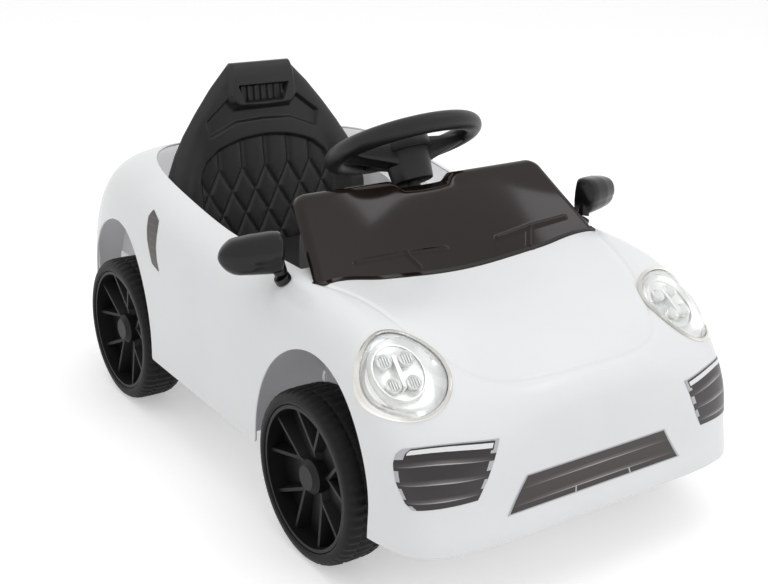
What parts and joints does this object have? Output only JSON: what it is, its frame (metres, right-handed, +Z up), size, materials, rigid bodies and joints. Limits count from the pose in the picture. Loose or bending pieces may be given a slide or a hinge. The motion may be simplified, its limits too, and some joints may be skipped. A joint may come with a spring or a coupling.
{
  "type": "electric ride-on car",
  "caption": "White electric ride-on toy car with a black bucket seat, tinted windscreen panel, linked front steering, geared rear drive, pedal and switches.",
  "frame": {"origin": "on the ground below the middle of the car", "axes": "+Z up, +Y towards the tail so the nose points to -Y, +X towards the driver's left"},
  "size_m": [0.5904, 0.8999, 0.462],
  "materials": {
    "white_shell": "gloss moulded",
    "black_plastic": "matte",
    "satin_black": "satin",
    "tinted_panel": "gloss, dark brown tint",
    "seat_black": "satin, grained",
    "battery_case": "matte",
    "switch_black": "gloss",
    "steel": "zinc plated",
    "chrome_trim": "vacuum plated",
    "clear_lens": "clear",
    "tyre_plastic": "matte moulded",
    "wheel_black": "satin",
    "nylon": "matte",
    "brass": "machined"
  },
  "bodies": {
    "car": {"body_shell": "white_shell", "floor_pan": "white_shell", "windscreen": "tinted_panel", "dashboard": "satin_black", "seat_back": "seat_black", "seat_base": "seat_black", "charge_socket": "black_plastic", "battery": "battery_case", "battery_strap": "steel", "control_box": "black_plastic", "pedal_pin": "steel", "pedal_switch": "black_plastic", "direction_switch_frame": "black_plastic", "power_switch_frame": "black_plastic", "rear_axle": "steel", "rear_nuts": "steel", "axle_spacer": "black_plastic", "gearbox_inner": "black_plastic", "gearbox_outer": "black_plastic", "motor": "steel", "headlight_bezel_left": "chrome_trim", "headlight_lens_left": "clear_lens", "headlight_reflector_left": "chrome_trim", "headlight_bezel_right": "chrome_trim", "headlight_lens_right": "clear_lens", "headlight_reflector_right": "chrome_trim"},
    "steering": {"steering_wheel": "satin_black", "steering_column": "steel"},
    "tie_rod": {"tie_rod": "steel"},
    "idler_gear": {"idler_gear": "nylon"},
    "motor_pinion": {"motor_pinion": "brass"},
    "accelerator_pedal": {"accelerator_pedal": "black_plastic"},
    "direction_rocker": {"direction_switch_rocker": "switch_black"},
    "power_rocker": {"power_switch_rocker": "switch_black"},
    "horn_button_left": {"horn_button_left": "satin_black"},
    "mirror_left": {"mirror_left": "satin_black"},
    "knuckle_left": {"knuckle_left": "steel", "front_nut_left": "steel"},
    "wheel_front_left": {"tyre_front_left": "tyre_plastic", "rim_front_left": "wheel_black", "hub_cap_front_left": "wheel_black"},
    "wheel_rear_left": {"tyre_rear_left": "tyre_plastic", "rim_rear_left": "wheel_black", "hub_cap_rear_left": "wheel_black", "output_gear": "nylon"},
    "horn_button_right": {"horn_button_right": "satin_black"},
    "mirror_right": {"mirror_right": "satin_black"},
    "knuckle_right": {"knuckle_right": "steel", "front_nut_right": "steel"},
    "wheel_front_right": {"tyre_front_right": "tyre_plastic", "rim_front_right": "wheel_black", "hub_cap_front_right": "wheel_black"},
    "wheel_rear_right": {"tyre_rear_right": "tyre_plastic", "rim_rear_right": "wheel_black", "hub_cap_rear_right": "wheel_black"}
  },
  "joints": [
    {"name": "steering_turn", "type": "hinge", "parent": "car", "child": "steering", "pos_m": [0, -0.062, 0.406], "axis": [0, 0.5, 0.866], "range_deg": [-28, 28]},
    {"name": "tie_rod_slide", "type": "slide", "parent": "car", "child": "tie_rod", "axis": [1, 0, 0], "range_m": [-0.0213, 0.0213]},
    {"name": "knuckle_left_turn", "type": "hinge", "parent": "car", "child": "knuckle_left", "pos_m": [0.172, -0.25, 0.1], "axis": [0, 0, 1], "range_deg": [-20.2, 20.2]},
    {"name": "knuckle_right_turn", "type": "hinge", "parent": "car", "child": "knuckle_right", "pos_m": [-0.172, -0.25, 0.1], "axis": [0, 0, 1], "range_deg": [-20.2, 20.2]},
    {"name": "wheel_front_left_spin", "type": "hinge", "parent": "knuckle_left", "child": "wheel_front_left", "pos_m": [0.227, -0.25, 0.1], "axis": [1, 0, 0], "continuous": true},
    {"name": "wheel_rear_left_spin", "type": "hinge", "parent": "car", "child": "wheel_rear_left", "pos_m": [0.227, 0.25, 0.1], "axis": [1, 0, 0], "continuous": true},
    {"name": "wheel_front_right_spin", "type": "hinge", "parent": "knuckle_right", "child": "wheel_front_right", "pos_m": [-0.227, -0.25, 0.1], "axis": [1, 0, 0], "continuous": true},
    {"name": "wheel_rear_right_spin", "type": "hinge", "parent": "car", "child": "wheel_rear_right", "pos_m": [-0.227, 0.25, 0.1], "axis": [1, 0, 0], "continuous": true},
    {"name": "idler_spin", "type": "hinge", "parent": "car", "child": "idler_gear", "pos_m": [0.157, 0.20489, 0.11642], "axis": [1, 0, 0], "continuous": true},
    {"name": "pinion_spin", "type": "hinge", "parent": "car", "child": "motor_pinion", "pos_m": [0.14, 0.16739, 0.11642], "axis": [1, 0, 0], "continuous": true},
    {"name": "pedal_press", "type": "hinge", "parent": "car", "child": "accelerator_pedal", "pos_m": [-0.072, -0.052, 0.112], "axis": [1, 0, 0], "range_deg": [0, 10], "stiffness_Nm_per_rad": 1, "springref_deg": -6.88},
    {"name": "direction_rock", "type": "hinge", "parent": "car", "child": "direction_rocker", "pos_m": [-0.11, -0.047, 0.32], "axis": [1, 0, 0], "range_deg": [-8, 8]},
    {"name": "power_rock", "type": "hinge", "parent": "car", "child": "power_rocker", "pos_m": [0.11, -0.047, 0.32], "axis": [1, 0, 0], "range_deg": [0, 16]},
    {"name": "horn_left_press", "type": "slide", "parent": "steering", "child": "horn_button_left", "axis": [0, -0.5, -0.866], "range_m": [0, 0.003], "stiffness_N_per_m": 300},
    {"name": "horn_right_press", "type": "slide", "parent": "steering", "child": "horn_button_right", "axis": [0, -0.5, -0.866], "range_m": [0, 0.003], "stiffness_N_per_m": 300},
    {"name": "mirror_left_swivel", "type": "hinge", "parent": "car", "child": "mirror_left", "pos_m": [0.223, -0.155, 0.29513], "axis": [0.5483, 0.0182, 0.8361], "range_deg": [-20, 20]},
    {"name": "mirror_right_swivel", "type": "hinge", "parent": "car", "child": "mirror_right", "pos_m": [-0.223, -0.155, 0.29513], "axis": [-0.5483, 0.0182, 0.8361], "range_deg": [-20, 20]}
  ],
  "couplings": [
    {"joint": "tie_rod_slide", "follows": "steering_turn", "m_per_rad": -0.04323},
    {"joint": "knuckle_left_turn", "follows": "steering_turn", "ratio": 0.71429},
    {"joint": "knuckle_right_turn", "follows": "steering_turn", "ratio": 0.71429},
    {"joint": "idler_spin", "follows": "wheel_rear_left_spin", "ratio": -3},
    {"joint": "pinion_spin", "follows": "wheel_rear_left_spin", "ratio": 12}
  ]
}
